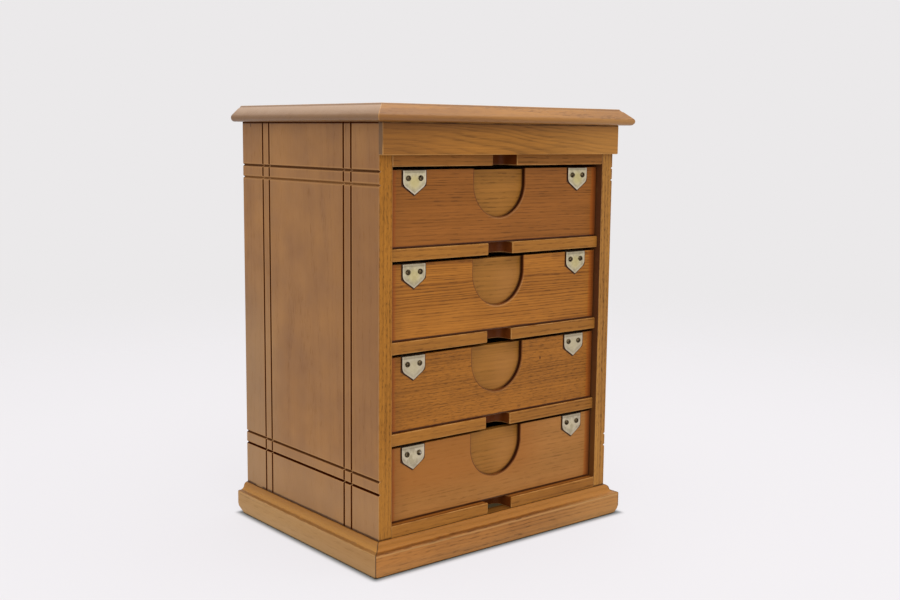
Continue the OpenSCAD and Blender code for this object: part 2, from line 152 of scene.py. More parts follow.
# %% Room light and lamps
ROOM_LIGHT = 0.66
ROOM_COLOUR = "#ebe9ea"
CABINET_MIDDLE = Vector((0, 0, 0.24))
LAMPS = {
    "overhead_lamp": dict(at=(0.1, -0.4, 2.2), size=2.2, power=30),
    "front_lamp": dict(at=(-1.3, -2.2, 1.2), size=2.4, power=26),
}


def seen_rays(add):
    """1 on the rays by which a thing is seen, straight or in metal and glass, and 0 on those that light others."""
    ray = add("LightPath").node.outputs
    seen = add("Math", [ray["Is Camera Ray"], ray["Is Glossy Ray"]], operation="MAXIMUM")
    return add("Math", [seen, ray["Is Transmission Ray"]], operation="MAXIMUM")


world = bpy.data.worlds.new("pale_room")
scene.world = world
world.use_nodes = True
world.node_tree.nodes.clear()
add = partial(add_node, world.node_tree)
light = add("Background", {"Color": (1, 1, 1, 1), "Strength": ROOM_LIGHT})
wall = add("Background", {"Color": linear(ROOM_COLOUR), "Strength": 1.0})
room = add("MixShader", [seen_rays(add), light, wall])
add("OutputWorld", {"Surface": room})

for name, lamp in LAMPS.items():
    data = bpy.data.lights.new(name, "AREA")
    data.energy = lamp["power"]
    data.size = lamp["size"]
    stand = bpy.data.objects.new(name, data)
    aim = CABINET_MIDDLE - Vector(lamp["at"])
    stand.matrix_world = Matrix.Translation(lamp["at"]) @ aim.to_track_quat("-Z", "Y").to_matrix().to_4x4()
    scene.collection.objects.link(stand)
print("room light of strength", ROOM_LIGHT, "and", len(LAMPS), "lamps")

# %% [markdown]
# ## Floor
#
# The floor is a pale, matt disc. It keeps the cabinet's shadow, but is lifted towards white wherever it is seen,
# except under the cabinet and close to it. There its colour is also painted darker, a painted contact shadow round
# the foot. Under the cabinet it shows a faint, warm painted glow in place of light from the wood. It fades out
# towards its rim, so that it melts into the pale room from every side.

# %% Floor finish
FLOOR_COLOUR, FLOOR_ROUGHNESS = "#d8d6d8", 0.8
# The colour of the painted contact shadow round the cabinet's foot
PAINTED_CONTACT_SHADOW = "#858b8f"
FLOOR_SEEN, FLOOR_LIFT = "#f6f3f6", 0.8
# A warm painted glow that the floor shows under the cabinet, in place of light from the wood, and its strength
UNDER_PAINTED_GLOW, UNDER_LIFT = "#f3d59a", 0.05
UNDER_END = 0.02
# Sizes in m: half of the cabinet's foot, how far its painted contact shadow reaches, and the disc with its fading rim
FOOT_HALF, CONTACT_REACH = (0.178, 0.13625), (0.0095, 0.0107)
FLOOR_RADIUS, FADE_FROM, FADE_TO = 2.4, 0.6, 2.3

floor_material = bpy.data.materials.new("pale_floor")
floor_material.use_nodes = True
floor_nodes = floor_material.node_tree.nodes
add = partial(add_node, floor_material.node_tree)
place = add("TexCoord", output="Object")
past = add("VectorMath", [place], operation="ABSOLUTE")
past = add("VectorMath", [past, (*FOOT_HALF, 0)], operation="SUBTRACT")
past = add("VectorMath", [past, (0, 0, 0)], operation="MAXIMUM")
past = add("VectorMath", [past, (*CONTACT_REACH, 1)], operation="DIVIDE")
past = add("VectorMath", [past], output="Value", operation="LENGTH")
away = add("MapRange", {"Value": past}, interpolation_type="SMOOTHSTEP")
ground = add("Mix", {0: away, 6: linear(PAINTED_CONTACT_SHADOW), 7: linear(FLOOR_COLOUR)}, output=2, data_type="RGBA")
shader = floor_nodes["Principled BSDF"]
fill(shader, {"Base Color": ground, "Roughness": FLOOR_ROUGHNESS})
lift = add("MapRange", {"Value": away, "To Min": UNDER_LIFT, "To Max": FLOOR_LIFT})
lift = add("Math", [seen_rays(add), lift], operation="MULTIPLY")
outside = add("MapRange", {"Value": away, "From Max": UNDER_END})
glow = add("Mix", {0: outside, 6: linear(UNDER_PAINTED_GLOW), 7: linear(FLOOR_SEEN)}, output=2, data_type="RGBA")
glow = add("Emission", {"Color": glow, "Strength": 1.0})
ground = add("MixShader", [lift, shader.outputs[0], glow])
reach = add("VectorMath", [place], output="Value", operation="LENGTH")
fade = add("MapRange", {"Value": reach, "From Min": FADE_FROM, "From Max": FADE_TO}, interpolation_type="SMOOTHSTEP")
clear = add("BsdfTransparent")
ground = add("MixShader", [fade, ground, clear])
fill(floor_nodes["Material Output"], {"Surface": ground})
print("floor finish of", len(floor_nodes), "nodes")

# %% Floor
net = bmesh.new()
bmesh.ops.create_circle(net, cap_ends=True, segments=96, radius=FLOOR_RADIUS)
floor_mesh = bpy.data.meshes.new("floor")
net.to_mesh(floor_mesh)
net.free()
floor_mesh.materials.append(floor_material)
floor = bpy.data.objects.new("floor", floor_mesh)
scene.collection.objects.link(floor)
print("floor of radius", FLOOR_RADIUS, "m")

# %% [markdown]
# ## Softened boards
#
# A saw leaves an edge sharp, but a cabinet maker takes every arris off with a few strokes, and a century of hands
# rounds it further. Each CAD board is a net of loose triangles, so a copy is merged, its flat faces are joined
# again, and its outer edges are rounded. The narrow new faces get an attribute called wear, which the wood finish
# reads to show where the colour has been rubbed off. A Weighted Normal modifier keeps the broad faces flat to the
# eye. The base mouldings have their roundings in the CAD model and only get their knocks.

# %% Softening helpers
OUT, BACK, UP, ACROSS = (1, 0, 0), (0, 1, 0), (0, 0, 1), "across"
# Faces meet in an edge from SHARP on and are one below FLAT, corners within JOIN (m) are one, and an edge has to be
# LEAST_RUN roundings long to be rounded
SHARP = math.radians(40)
FLAT = math.radians(0.6)
JOIN = 1e-6
LEAST_RUN = 1.2
body_of_node = {name: obj.parent.name.split(":", 1)[1] for name, obj in frame["nodes"].items()}


def merged(node):
    """A bmesh copy of a CAD node with its loose triangles joined."""
    net = bmesh.new()
    net.from_mesh(frame["nodes"][node].data)
    bmesh.ops.remove_doubles(net, verts=net.verts, dist=JOIN)
    return net


def dress(node, mesh, materials):
    """Makes this mesh the piece that stands for a CAD node, on the node's body."""
    if "custom_normal" in mesh.attributes:
        mesh.attributes.remove(mesh.attributes["custom_normal"])
    mesh.set_sharp_from_angle(angle=SHARP)
    if not mesh.materials:
        for material in materials:
            mesh.materials.append(material)
    piece = bpy.data.objects.new(node + "_piece", mesh)
    scene.collection.objects.link(piece)
    flatten = piece.modifiers.new("broad_faces_stay_flat", "WEIGHTED_NORMAL")
    flatten.keep_sharp = True
    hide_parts(node)
    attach(piece, body_of_node[node])
    return piece


def softened(node, material, arris, knocks=(), also=(), sharp=SHARP, level=None, least=LEAST_RUN):
    """A copy of a CAD piece with its knocked corners cut back and its outer edges over the angle sharp rounded by
    arris (mm), or left as they are if it is 0. Edges shorter than least times arris stay sharp, because the short
    ones round a hole would hold every rounding back. Each pair in also is a further finish and the test that a
    face's normal and height pass to get it, and level is a height (mm) at which upright faces are split, so that the
    two parts can differ."""
    net = merged(node)
    bmesh.ops.dissolve_limit(net, angle_limit=FLAT, verts=net.verts, edges=net.edges)
    if level:
        bmesh.ops.bisect_plane(net, geom=net.verts[:] + net.edges[:] + net.faces[:], dist=JOIN,
                               plane_co=Vector(UP) * level * MM, plane_no=UP)
    for corner, direction, depth in knocks:
        away = Vector(direction).normalized()
        cut = bmesh.ops.bisect_plane(net, geom=net.verts[:] + net.edges[:] + net.faces[:], dist=JOIN,
                                     plane_co=(Vector(corner) - away * depth) * MM, plane_no=away, clear_outer=True)
        rim = [e for e in cut["geom_cut"] if isinstance(e, bmesh.types.BMEdge)]
        bmesh.ops.holes_fill(net, edges=rim, sides=0)
    wear = net.faces.layers.float.new("wear")
    if arris:
        edges = [e for e in net.edges if e.is_manifold and e.is_convex and e.calc_face_angle(0) > sharp
                 and e.calc_length() > least * arris * MM]
        rounded = bmesh.ops.bevel(net, geom=edges, offset=arris * MM, offset_type="OFFSET", segments=2, profile=0.5,
                                  affect="EDGES", clamp_overlap=True, material=-1)
        for face in rounded["faces"]:
            face[wear] = 1.0
    for face in net.faces:
        face.smooth = True
        for index, (finish, fits) in enumerate(also, 1):
            if not face[wear] and fits(face.normal, face.calc_center_median().z / MM):
                face.material_index = index
    mesh = bpy.data.meshes.new(node + "_shape")
    net.to_mesh(mesh)
    net.free()
    return dress(node, mesh, [material] + [finish for finish, fits in also])


print("bodies:", sorted(set(body_of_node.values())))

# %% [markdown]
# ## Oak
#
# Oak is a ring-porous wood: each year's growth starts with a band of open pores, which soak up stain and show as
# dark dashes along the grain, and ends in dense, smoother wood. The finish here is a solid one. Every board gets a
# heart line, the middle of the tree that it was sawn from, and the rings are the distance from that line. The same
# pattern then gives straight lines on one face, arches on another and arcs on the end grain, as in a real board.
# Shellac gives a low, warm gloss. Pores are about 0.3 mm wide on real oak, and are drawn near 1.5 mm wide here,
# because finer ones would not show at the size of the picture.
#
# Marks lay grime, wear, fading, painted light and painted shade over the wood. Each has a colour, how strong it is,
# how far its edge wavers (mm), and limits. A limit is a direction, the places (mm) about which the distance along it
# is folded, and the two distances between which the mark comes in. Left and right count alike, except along ACROSS,
# which runs from left to right. A limit without a direction is the distance outside a U shape, open at the top, with
# the given centre across, centre height and radius.

# %% Oak finish
TURN_TO_X = {"X": (0, 0, 0), "Y": (0, 0, -math.pi / 2), "Z": (0, math.pi / 2, 0)}
# Sizes in mm: clouds of colour, fibres, slow bends of the grain and bands of tone
MOTTLE = 45.0
FIBRE_LENGTH, FIBRE_WIDTH = 80.0, 1.9
WARP_LENGTH, WARP_WIDTH = 240.0, 50.0
TONE_LENGTH = 330.0
# Good and bad years come in spells of some rings and shift the rings by up to so many ring widths
SPELL, SWING = 5, 3
# The parts of a year in which the open pores end and start, and the noise that parts pores from dense wood
PORES_END, PORES_START, PORE_EDGE = (0.5, 0.06), (0.88, 1.0), (0.53, 0.62)
# Waves per mm of a mark's edge and of patches of wear, about 14 and 20 mm long
WAVER, PATCH = 0.07, 0.05
# How deep open pores are, and how much rougher pores and smears make the shellac
RELIEF, PORE_ROUGH, SMEAR_ROUGH = 0.15 * MM, 0.15, 0.16
FAR = 1000


def oak(name, grain="X", heart=(0, 0, 0), tones=("#a56a28", "#80501a"), pores="#4a290c", ring=4.0, ring_depth=0.6,
        pore_depth=0.6, pore_size=(13.0, 1.5), crowding=0.75, fibre_depth=0.9, tone_depth=1.6, mottle=0.5,
        wander=5.0, lean=0.01, tone_width=28.0, gloss=0.45, shine=0.2, worn="#bd8a4a", wear_depth=0.6, marks=()):
    """Stained and shellacked oak, sawn from a tree whose middle runs along grain through heart (mm). The rings are
    ring apart, wander to and fro (mm) and lean along the board. The pores are pore_size long and wide and crowd into
    the springwood. The depths say how much each pattern shows, and worn is the colour of rubbed edges."""
    material, add, shader, spot = new_finish(name)
    turn = Euler(TURN_TO_X[grain])
    shift = turn.to_matrix() @ Vector(heart)
    board = add("Mapping", {"Vector": spot, "Location": -shift, "Rotation": turn})

    # Noises that are stretched along the grain
    sizes = {"warp": (WARP_LENGTH, WARP_WIDTH, 2.0, "Color"), "pores": (*pore_size, 1.0, "Fac"),
             "fibres": (FIBRE_LENGTH, FIBRE_WIDTH, 3.0, "Fac"), "tone": (TONE_LENGTH, tone_width, 2.0, "Fac")}
    streaks = {}
    for key, (length, width, detail, output) in sizes.items():
        stretch = add("VectorMath", [board, (1 / length, 1 / width, 1 / width)], operation="MULTIPLY")
        streaks[key] = add("TexNoise", {"Vector": stretch, "Scale": 1.0, "Detail": detail, "Roughness": 0.6},
                           output=output)

    # Rings: the distance from the heart line, counted in years
    bend = add("VectorMath", [streaks["warp"], (0.5,) * 3], operation="SUBTRACT")
    bent = add("VectorMath", [bend, (0, 2 * wander, 2 * wander), board], operation="MULTIPLY_ADD")
    across = add("VectorMath", [bent, (0, 1, 1)], operation="MULTIPLY")
    radius = add("VectorMath", [across], output="Value", operation="LENGTH")
    along = add("SeparateXYZ", [board])
    radius = add("Math", [along, lean, radius], operation="MULTIPLY_ADD")
    age = add("Math", [radius, SPELL * ring], operation="DIVIDE")
    growth = add("TexNoise", {"W": age, "Scale": 1.0}, noise_dimensions="1D")
    radius = add("Math", [growth, SWING * ring, radius], operation="MULTIPLY_ADD")
    year = add("Math", [radius, ring], operation="DIVIDE")
    year = add("Math", [year], operation="FRACT")
    spring, onset = (add("MapRange", {"Value": year, "From Min": low, "From Max": high},
                         interpolation_type="SMOOTHSTEP") for low, high in (PORES_END, PORES_START))
    early = add("Math", [spring, onset], operation="MAXIMUM")
    vigour = add("MapRange", {"Value": streaks["tone"], "From Min": 0.35, "From Max": 0.62, "To Min": 0.45,
                              "To Max": 1.25})
    early = add("Math", [early, vigour], operation="MULTIPLY")

    # Open pores, most of them in the springwood
    open_pores = add("MapRange", {"Value": streaks["pores"], "From Min": PORE_EDGE[0], "From Max": PORE_EDGE[1]},
                     interpolation_type="SMOOTHSTEP")
    share = add("Math", [early, crowding, 1 - crowding], operation="MULTIPLY_ADD")
    pore = add("Math", [open_pores, share], operation="MULTIPLY")

    # Colour: tone, rings, fibres and clouds shift it between the two tones, and stained pores darken it
    cloud = add("TexNoise", {"Vector": board, "Scale": 1 / MOTTLE, "Detail": 2.0})
    shade = 0.5
    for value, middle, depth in ((streaks["tone"], 0.5, tone_depth), (early, 0.35, ring_depth),
                                 (streaks["fibres"], 0.5, fibre_depth), (cloud, 0.5, mottle)):
        offset = add("Math", [value, middle], operation="SUBTRACT")
        shade = add("Math", [offset, depth, shade], operation="MULTIPLY_ADD")
    shade = add("Clamp", [shade])
    colour = add("Mix", {0: shade, 6: linear(tones[0]), 7: linear(tones[1])}, output=2, data_type="RGBA")
    stain = add("Math", [pore, pore_depth], operation="MULTIPLY")
    colour = add("Mix", {0: stain, 6: colour, 7: linear(pores)}, output=2, data_type="RGBA")

    # Marks: each is as strong as all its limits allow
    alike = add("VectorMath", [spot], operation="ABSOLUTE")
    out = add("SeparateXYZ", [alike])
    rest = add("SeparateXYZ", [spot]).node.outputs
    alike = add("CombineXYZ", [out, rest[1], rest[2]])
    waver = add("TexNoise", {"Vector": spot, "Scale": WAVER, "Detail": 3.0}, output="Color")
    waver = add("VectorMath", [waver, (0.5,) * 3], operation="SUBTRACT")
    for mark_colour, amount, stray, limits in marks:
        strayed = add("VectorMath", [waver, (stray,) * 3, alike], operation="MULTIPLY_ADD")
        one_sided = add("VectorMath", [waver, (stray,) * 3, spot], operation="MULTIPLY_ADD")
        for direction, folds, low, high in limits:
            if direction:
                measured = [one_sided, OUT] if direction == ACROSS else [strayed, direction]
                distance = add("VectorMath", measured, output="Value", operation="DOT_PRODUCT")
                for fold in folds:
                    distance = add("Math", [distance, fold], operation="SUBTRACT")
                    distance = add("Math", [distance], operation="ABSOLUTE")
            else:
                below = add("VectorMath", [one_sided, (folds[0], 0, folds[1])], operation="SUBTRACT")
                below = add("VectorMath", [below, (FAR, 0, 0)], operation="MINIMUM")
                below = add("VectorMath", [below, (1, 0, 1)], operation="MULTIPLY")
                distance = add("VectorMath", [below], output="Value", operation="LENGTH")
                distance = add("Math", [distance, folds[2]], operation="SUBTRACT")
            inside = add("MapRange", {"Value": distance, "From Min": low, "From Max": high},
                         interpolation_type="SMOOTHSTEP")
            amount = add("Math", [inside, amount], operation="MULTIPLY")
        colour = add("Mix", {0: amount, 6: colour, 7: linear(mark_colour)}, output=2, data_type="RGBA")

    # Edges that hands have rubbed, in patches
    rubbed = add("Attribute", output="Fac", attribute_name="wear")
    patch = add("TexNoise", {"Vector": spot, "Scale": PATCH, "Detail": 4.0})
    patchy = add("MapRange", {"Value": patch, "From Min": 0.3, "From Max": 0.65, "To Max": wear_depth},
                 interpolation_type="SMOOTHSTEP")
    rubbed = add("Math", [rubbed, patchy], operation="MULTIPLY")
    colour = add("Mix", {0: rubbed, 6: colour, 7: linear(worn)}, output=2, data_type="RGBA")

    # Relief and gloss
    height = add("Math", [streaks["fibres"], 0.4], operation="MULTIPLY")
    height = add("Math", [height, pore], operation="SUBTRACT")
    bump = add("Bump", {"Height": height, "Strength": 0.35, "Distance": RELIEF})
    rough = add("Math", [pore, PORE_ROUGH, gloss], operation="MULTIPLY_ADD")
    smear = add("Math", [patch, 0.5], operation="SUBTRACT")
    rough = add("Math", [smear, SMEAR_ROUGH, rough], operation="MULTIPLY_ADD")
    fill(shader, {"Base Color": colour, "Roughness": rough, "Normal": bump, "Specular IOR Level": shine})
    return material


print("oak: fibres of", FIBRE_LENGTH, "by", FIBRE_WIDTH, "mm in bands", TONE_LENGTH, "mm long")

# %% [markdown]
# ## The case
#
# The two sides stand with their grain upright. Dirt has settled in the V-grooves, and the ridges beside them are
# paler, partly wear and partly a painted highlight. A strip just under the top board's edge is painted dark as its
# shadow. The faces inside the case were never polished, and near the front they are painted a dark brown, partly
# their own dry wood and partly painted shade. The front edge of a side, its stile, cuts the rings another way than
# the broad face and shows short dark pores, so it gets a finish of its own.

# %% Dirt, wear, painted light and painted shade on the side panels
GROOVE_PAIRS_DEEP, GROOVE_PAIRS_HIGH = (12.0, 79.95, 6.8), (245.85, 156.55, 6.8)
OUTER_FACE, OUTSIDE = (OUT, (), 164.6, 164.9), (OUT, (), 153.0, 158.0)
# Above this height the side lies just under the top board's edge, and its dark finish is a painted shadow
UNDER_TOP = 456.2
SIDE_MARKS = (
    ("#84562a", 0.42, 8.0, [OUTSIDE, (BACK, (), 0, -90), (UP, (), 140, 260), (UP, (), 440, 400)]),
    ("#a6835c", 0.5, 8.0, [OUTSIDE, (BACK, (), 40, 120), (UP, (), 330, 180)]),
    ("#b08658", 0.45, 8.0, [OUTSIDE, (UP, (), 125, 55)]),
    # Paler bands beside the grooves: partly wear, partly a painted highlight on the ridges
    ("#b07c42", 0.5, 0.2, [OUTER_FACE, (BACK, GROOVE_PAIRS_DEEP, 3.4, 1.8)]),
    ("#b07c42", 0.5, 0.2, [OUTER_FACE, (UP, GROOVE_PAIRS_HIGH, 3.6, 2.0)]),
    # Inside faces: a dark brown, partly dry wood and partly painted shade, which lifts lower down at the front
    ("#46200a", 0.9, 1.0, [(OUT, (), 149.2, 148.6)]),
    ("#6e4416", 0.7, 1.0, [(OUT, (), 149.2, 148.6), (BACK, (), -114.5, -116.5), (UP, (), 260, 60)]),
    ("#3d2009", 0.85, 1.4, [OUTER_FACE, (UP, (), 36.6, 34.9)]),
    # Painted shadow of the top board along the upper edge of the side
    ("#452812", 0.75, 0.8, [(UP, (), 454.8, 456.3)]),
    ("#2e1608", 0.85, 0.8, [OUTER_FACE, (BACK, (125.1,), 0.9, 0.5), (UP, (), 451.0, 453.0)]),
)
GROOVE_MARKS = (
    # Three horizontal grooves painted lighter: painted light on their upturned walls
    ("#8d6440", 0.5, 0.6, [(UP, (409.2,), 2.4, 1.7)]),
    ("#a87a4c", 0.75, 0.8, [(UP, (395.6,), 2.4, 1.7)]),
    ("#7d5431", 0.45, 0.8, [(UP, (96.1,), 2.4, 1.7)]),
)
STILE_MARKS = (
    ("#b8803a", 0.25, 6.0, [(UP, (), 160, 60)]),
    ("#3d2009", 0.75, 1.2, [(UP, (), 35.8, 34.5)]),
)
print(len(SIDE_MARKS), "marks on each side panel,", len(GROOVE_MARKS), "in its grooves and", len(STILE_MARKS),
      "on its stile")

# %% Side panels
EDGE_CUT = math.radians(70)
STILE_TONES = {"left": ("#a56c26", "#7e4f1a"), "right": ("#ad7936", "#8a5c2a")}


def on_stile(way, height):
    """Whether a face of a side panel looks to the front."""
    return way.y < -0.95


def in_groove_or_top_shadow(way, height):
    """Whether a side face slopes, as groove walls do, or lies in the painted shadow under the top board's edge."""
    return 0.3 < abs(way.x) < 0.9 or 0.3 < abs(way.z) < 0.9 or height > UNDER_TOP


for side, x in (("left", -60), ("right", 60)):
    finish = oak(f"golden_oak_{side}_side", "Z", (x, 30, 0), ("#a5723a", "#8e6033"), "#5b3a1c", ring=7.0,
                 ring_depth=0.12, pore_depth=0.14, fibre_depth=0.3, tone_depth=1.3, mottle=1.8, wander=9,
                 lean=0.02, tone_width=45, gloss=0.5, shine=0.35, worn="#c09560", wear_depth=0.45, marks=SIDE_MARKS)
    stile = oak(f"golden_oak_{side}_stile", "Z", (2.2 * x, -110, 0), STILE_TONES[side], "#3b2008", ring=3.6,
                ring_depth=0.5, pore_depth=0.6, pore_size=(5.5, 1.3), crowding=0.6, wander=4, tone_width=16,
                shine=0.12, marks=STILE_MARKS)
    # Grime in the grooves, and the same dark finish on the strip under the top as a painted shadow
    groove_dirt_and_shadow = oak(f"dirty_oak_{side}_grooves", "Z", (x, 30, 0), ("#481b03", "#361201"), "#2a1004", ring_depth=0.2,
               pore_depth=0.3, gloss=0.75, shine=0.0, marks=GROOVE_MARKS)
    softened(f"{side}_side_panel", finish, 0.8, sharp=EDGE_CUT, level=UNDER_TOP,
             also=((stile, on_stile), (groove_dirt_and_shadow, in_groove_or_top_shadow)))
print("side panels done")

# %% [markdown]
# The top's grain runs from side to side, so its two moulded ends are end grain. They are painted darker below and
# paler and greyer on their upper slope, as painted shade and light, and the colour changes along the mitre. The front
# nose is painted darker low down, as painted shade, and is deeper in colour to the left.

# %% Top board
END_SIDE, FRONT_SIDE = ((1, 1, 0), (), 35.8, 37.6), ((1, 1, 0), (), 37.6, 35.8)
ENDS, NOSE = (OUT, (), 164.0, 168.0), (BACK, (), -134.0, -138.0)
TOP_MARKS = (
    # Ends: darker below and paler, greyer on the upper slope, as painted shade and light
    ("#76522b", 0.85, 2.0, [ENDS, END_SIDE]),
    ("#b29174", 0.9, 2.0, [ENDS, END_SIDE, (UP, (), 461.5, 473.0)]),
    # Front nose: darker low down, as painted shade
    ("#7e4f12", 0.6, 2.0, [NOSE, FRONT_SIDE, (UP, (), 468.0, 461.0)]),
    ("#6f4212", 0.45, 8.0, [NOSE, FRONT_SIDE, (ACROSS, (), 20, -140)]),
    ("#b98a4c", 0.3, 8.0, [NOSE, FRONT_SIDE, (ACROSS, (), 30, 165), (UP, (), 468.0, 461.0)]),
    ("#6b4620", 0.5, 0.5, [(UP, (474.6,), 1.0, 0.5)]),
)
finish = oak("golden_oak_top", "X", (0, -60, 300), ("#ab742e", "#8a5a26"), "#4d2d10", ring=4.6, ring_depth=0.25,
             pore_depth=0.5, pore_size=(10, 1.4), wander=4, lean=0.02, gloss=0.36, shine=0.5, marks=TOP_MARKS)
softened("top_board", finish, 0.5)
print("top board done, with", len(TOP_MARKS), "marks")

# %% [markdown]
# The frieze is sawn close to the heart of its tree. Its heart line lies just behind and below the board, so the rings
# come out as long arches. It is painted darker towards its top, with a dark line right under the top board, as the
# top's painted shadow.

# %% Frieze
FRIEZE_MARKS = (
    ("#6b411d", 0.45, 8.0, [(ACROSS, (), -10, -150)]),
    # Painted shadow of the top: darker towards the frieze's top, and a dark line right under the top board
    ("#5f3a18", 0.4, 3.0, [(UP, (), 444, 455)]),
    ("#bb8440", 0.4, 8.0, [(ACROSS, (), 10, 160)]),
    ("#6f553c", 0.75, 0.6, [(OUT, (), 165.3, 165.9)]),
    ("#3a1f0b", 0.9, 0.8, [(UP, (), 455.6, 456.8)]),
)
finish = oak("golden_oak_frieze", "X", (-40, -92, 418), ("#a86e29", "#85561d"), "#47270a", ring=2.7, ring_depth=0.5,
             pore_depth=0.4, pore_size=(26, 1.1), crowding=0.6, fibre_depth=1.1, wander=6, lean=0.05, gloss=0.42,
             shine=0.2, marks=FRIEZE_MARKS)
softened("frieze_board", finish, 0.8)
print("frieze done, with", len(FRIEZE_MARKS), "marks")

# %% [markdown]
# Five notched shelves part the drawers. Only their front edges were stained and polished. Behind the edge, and in the
# finger notches, they are painted a dark red-brown, partly bare wood and partly painted shade of gaps and notches.
# The bottom shelf keeps a brown strip in front of its drawer, outside the notch, where its top is lit. Each shelf
# gets its own heart line, so no two edges look alike.

# %% Notched shelves
PLAIN_SHELF, SHELF_TONES = ("#a26b2c", "#845423"), {"head_shelf": ("#96602a", "#774c20")}
SHELVES = ("head_shelf", "shelf_1", "shelf_2", "shelf_3", "bottom_shelf")
for n, node in enumerate(SHELVES):
    low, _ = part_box(node)
    front = low[1] / MM
    # Behind the front edge: bare wood, partly painted shade of the gaps and notches
    marks = [("#5c2809", 0.92, 0.4, [(BACK, (), front + 0.9, front + 1.8)])]
    if node == "bottom_shelf":
        # The bottom shelf's top is left brown where it is lit, in front of its drawer
        before_drawer = (BACK, (), -115.6, -116.6)
        marks.append(("#935a22", 0.9, 0.5, [(BACK, (), front + 2.4, front + 3.2), before_drawer,
                                            (OUT, (), 18.0, 19.0)]))
    finish = oak("golden_oak_" + node, "X", (40 * n, -70, low[2] / MM - 90 - 9 * n),
                 SHELF_TONES.get(node, PLAIN_SHELF), "#4d2c0f", ring=4.6, ring_depth=0.4, pore_depth=0.5, wander=5,
                 shine=0.1, worn="#bf8f55", wear_depth=0.6, marks=marks)
    softened(node, finish, 0.8)
print(len(SHELVES), "notched shelves done")

# %% [markdown]
# ## The base
#
# Three mouldings with an ogee along the top meet in mitres. Dirt lies in the joint against the case and in the
# mitres, and a dark line runs along the foot of the ogee. The ogee's upward slope is painted a deeper gold than the
# upright faces, as painted light, and its top next to the case and the bottom edge are painted darker, as painted
# shade. The lower corners have been knocked, so planes cut a little off the same corner of both mouldings that meet
# there.

# %% Knocks and colours of the base
FRONT_RIGHT, FRONT_LEFT = (178, -136.25, 0), (-178, -136.25, 0)
BACK_LEFT, BACK_RIGHT = (-178, 143.25, 0), (178, 143.25, 0)
KNOCKED_RIGHT = [(FRONT_RIGHT, (1, -1, -0.5), 3.0), (FRONT_RIGHT, (1, -1, -1.2), 4.4),
                 (FRONT_RIGHT, (1, -1, -3), 3.6)]
KNOCKED_LEFT = [(FRONT_LEFT, (-1, -1, -1.2), 2.2)]
# A moulding stands out from the case's face at case (mm), along out times sign, and the other numbers are how strong
# its pores and marks are: slope is the colour of the painted light on the ogee, and shade the painted shade at its
# top
SIDE_BASE = dict(grain="Y", tones=("#bc8f55", "#ad814b"), out=OUT, sign=1, case=165.0, pores=0.2, slope="#ae7529",
                 foot=0.6, shade=0.45, line=0.5, fade=[], arris=0.15, glow=[])
BASES = {
    "front": dict(grain="X", heart=(0, -60, -70), tones=("#ad7236", "#865729"), out=BACK, sign=-1, case=-123.25,
                  pores=0.65, slope="#a36a27", foot=0.1, shade=0.2, line=0.6, fade=[(ACROSS, (), 165, 40)], arris=0.4,
                  glow=[("#bf8a4c", 0.45, 8.0, [(ACROSS, (), 20, 150)])], knocks=KNOCKED_RIGHT + KNOCKED_LEFT),
    "left": dict(SIDE_BASE, heart=(-110, 0, -60),
                 knocks=KNOCKED_LEFT + [(BACK_LEFT, (0, 1, -0.5), 4.5), (BACK_LEFT, (0, 1, -2), 7.0)]),
    "right": dict(SIDE_BASE, heart=(110, 0, -60),
                  knocks=KNOCKED_RIGHT + [(BACK_RIGHT, (0, 1, -0.4), 1.6), (BACK_RIGHT, (0, 1, -1), 5.0)]),
}
print({side: len(base["knocks"]) for side, base in BASES.items()}, "knocks")


# %% Base
def proud(base, low, high):
    """A limit between two distances (mm) out from the case, on the side where this moulding is."""
    return base["out"], (), base["case"] + base["sign"] * low, base["case"] + base["sign"] * high


for side, base in BASES.items():
    marks = [
        *base["glow"],
        # Painted light: the ogee's upward slope in a deeper gold
        (base["slope"], 0.7, 2.0, [(UP, (), 24.6, 26.2)]),
        ("#c39a68", base["foot"], 3.0, [proud(base, 8.0, 10.0), (UP, (), 18.0, 4.0)]),
        # Painted shade at the top of the slope, next to the case
        ("#7d4a18", base["shade"], 1.2, [(UP, (), 29.0, 32.5)]),
        ("#9a6c3a", base["foot"] * 0.6, 6.0, [(BACK, (), 60, -110), (UP, (), 25.0, 23.0)]),
        ("#5a2b04", base["line"], 1.6, [*base["fade"], proud(base, 6.0, 8.0), (UP, (25.2,), 0.85, 0.1)]),
        ("#c79a62", base["arris"], 1.0, [proud(base, 11.4, 12.2), (UP, (23.0,), 1.2, 0.5)]),
        ("#3a1d08", 0.85, 1.6, [proud(base, 2.0, 0.9)]),
        ("#3d2511", 0.75, 0.4, [((1, 1, 0), (41.75,), 1.1, 0.5)]),
        # Painted shade along the bottom edge, where it meets the floor
        ("#2b1a0e", 0.85, 0.6, [(UP, (), 2.2, 0.8)]),
    ]
    finish = oak(f"golden_oak_base_{side}", base["grain"], base["heart"], base["tones"], "#4f2d0e", ring=4.0,
                 ring_depth=0.9 * base["pores"], pore_depth=base["pores"], wander=6, gloss=0.42, shine=0.2,
                 wear_depth=0.35, marks=marks)
    softened(f"base_{side}_moulding", finish, 0, knocks=base["knocks"])
finish = oak("golden_oak_plinth", "X", (0, -60, -70), ("#86551f", "#6b4117"), "#4f2d0e")
softened("plinth_front_rail", finish, 0.4)
print(len(BASES), "base mouldings and the plinth rail done")

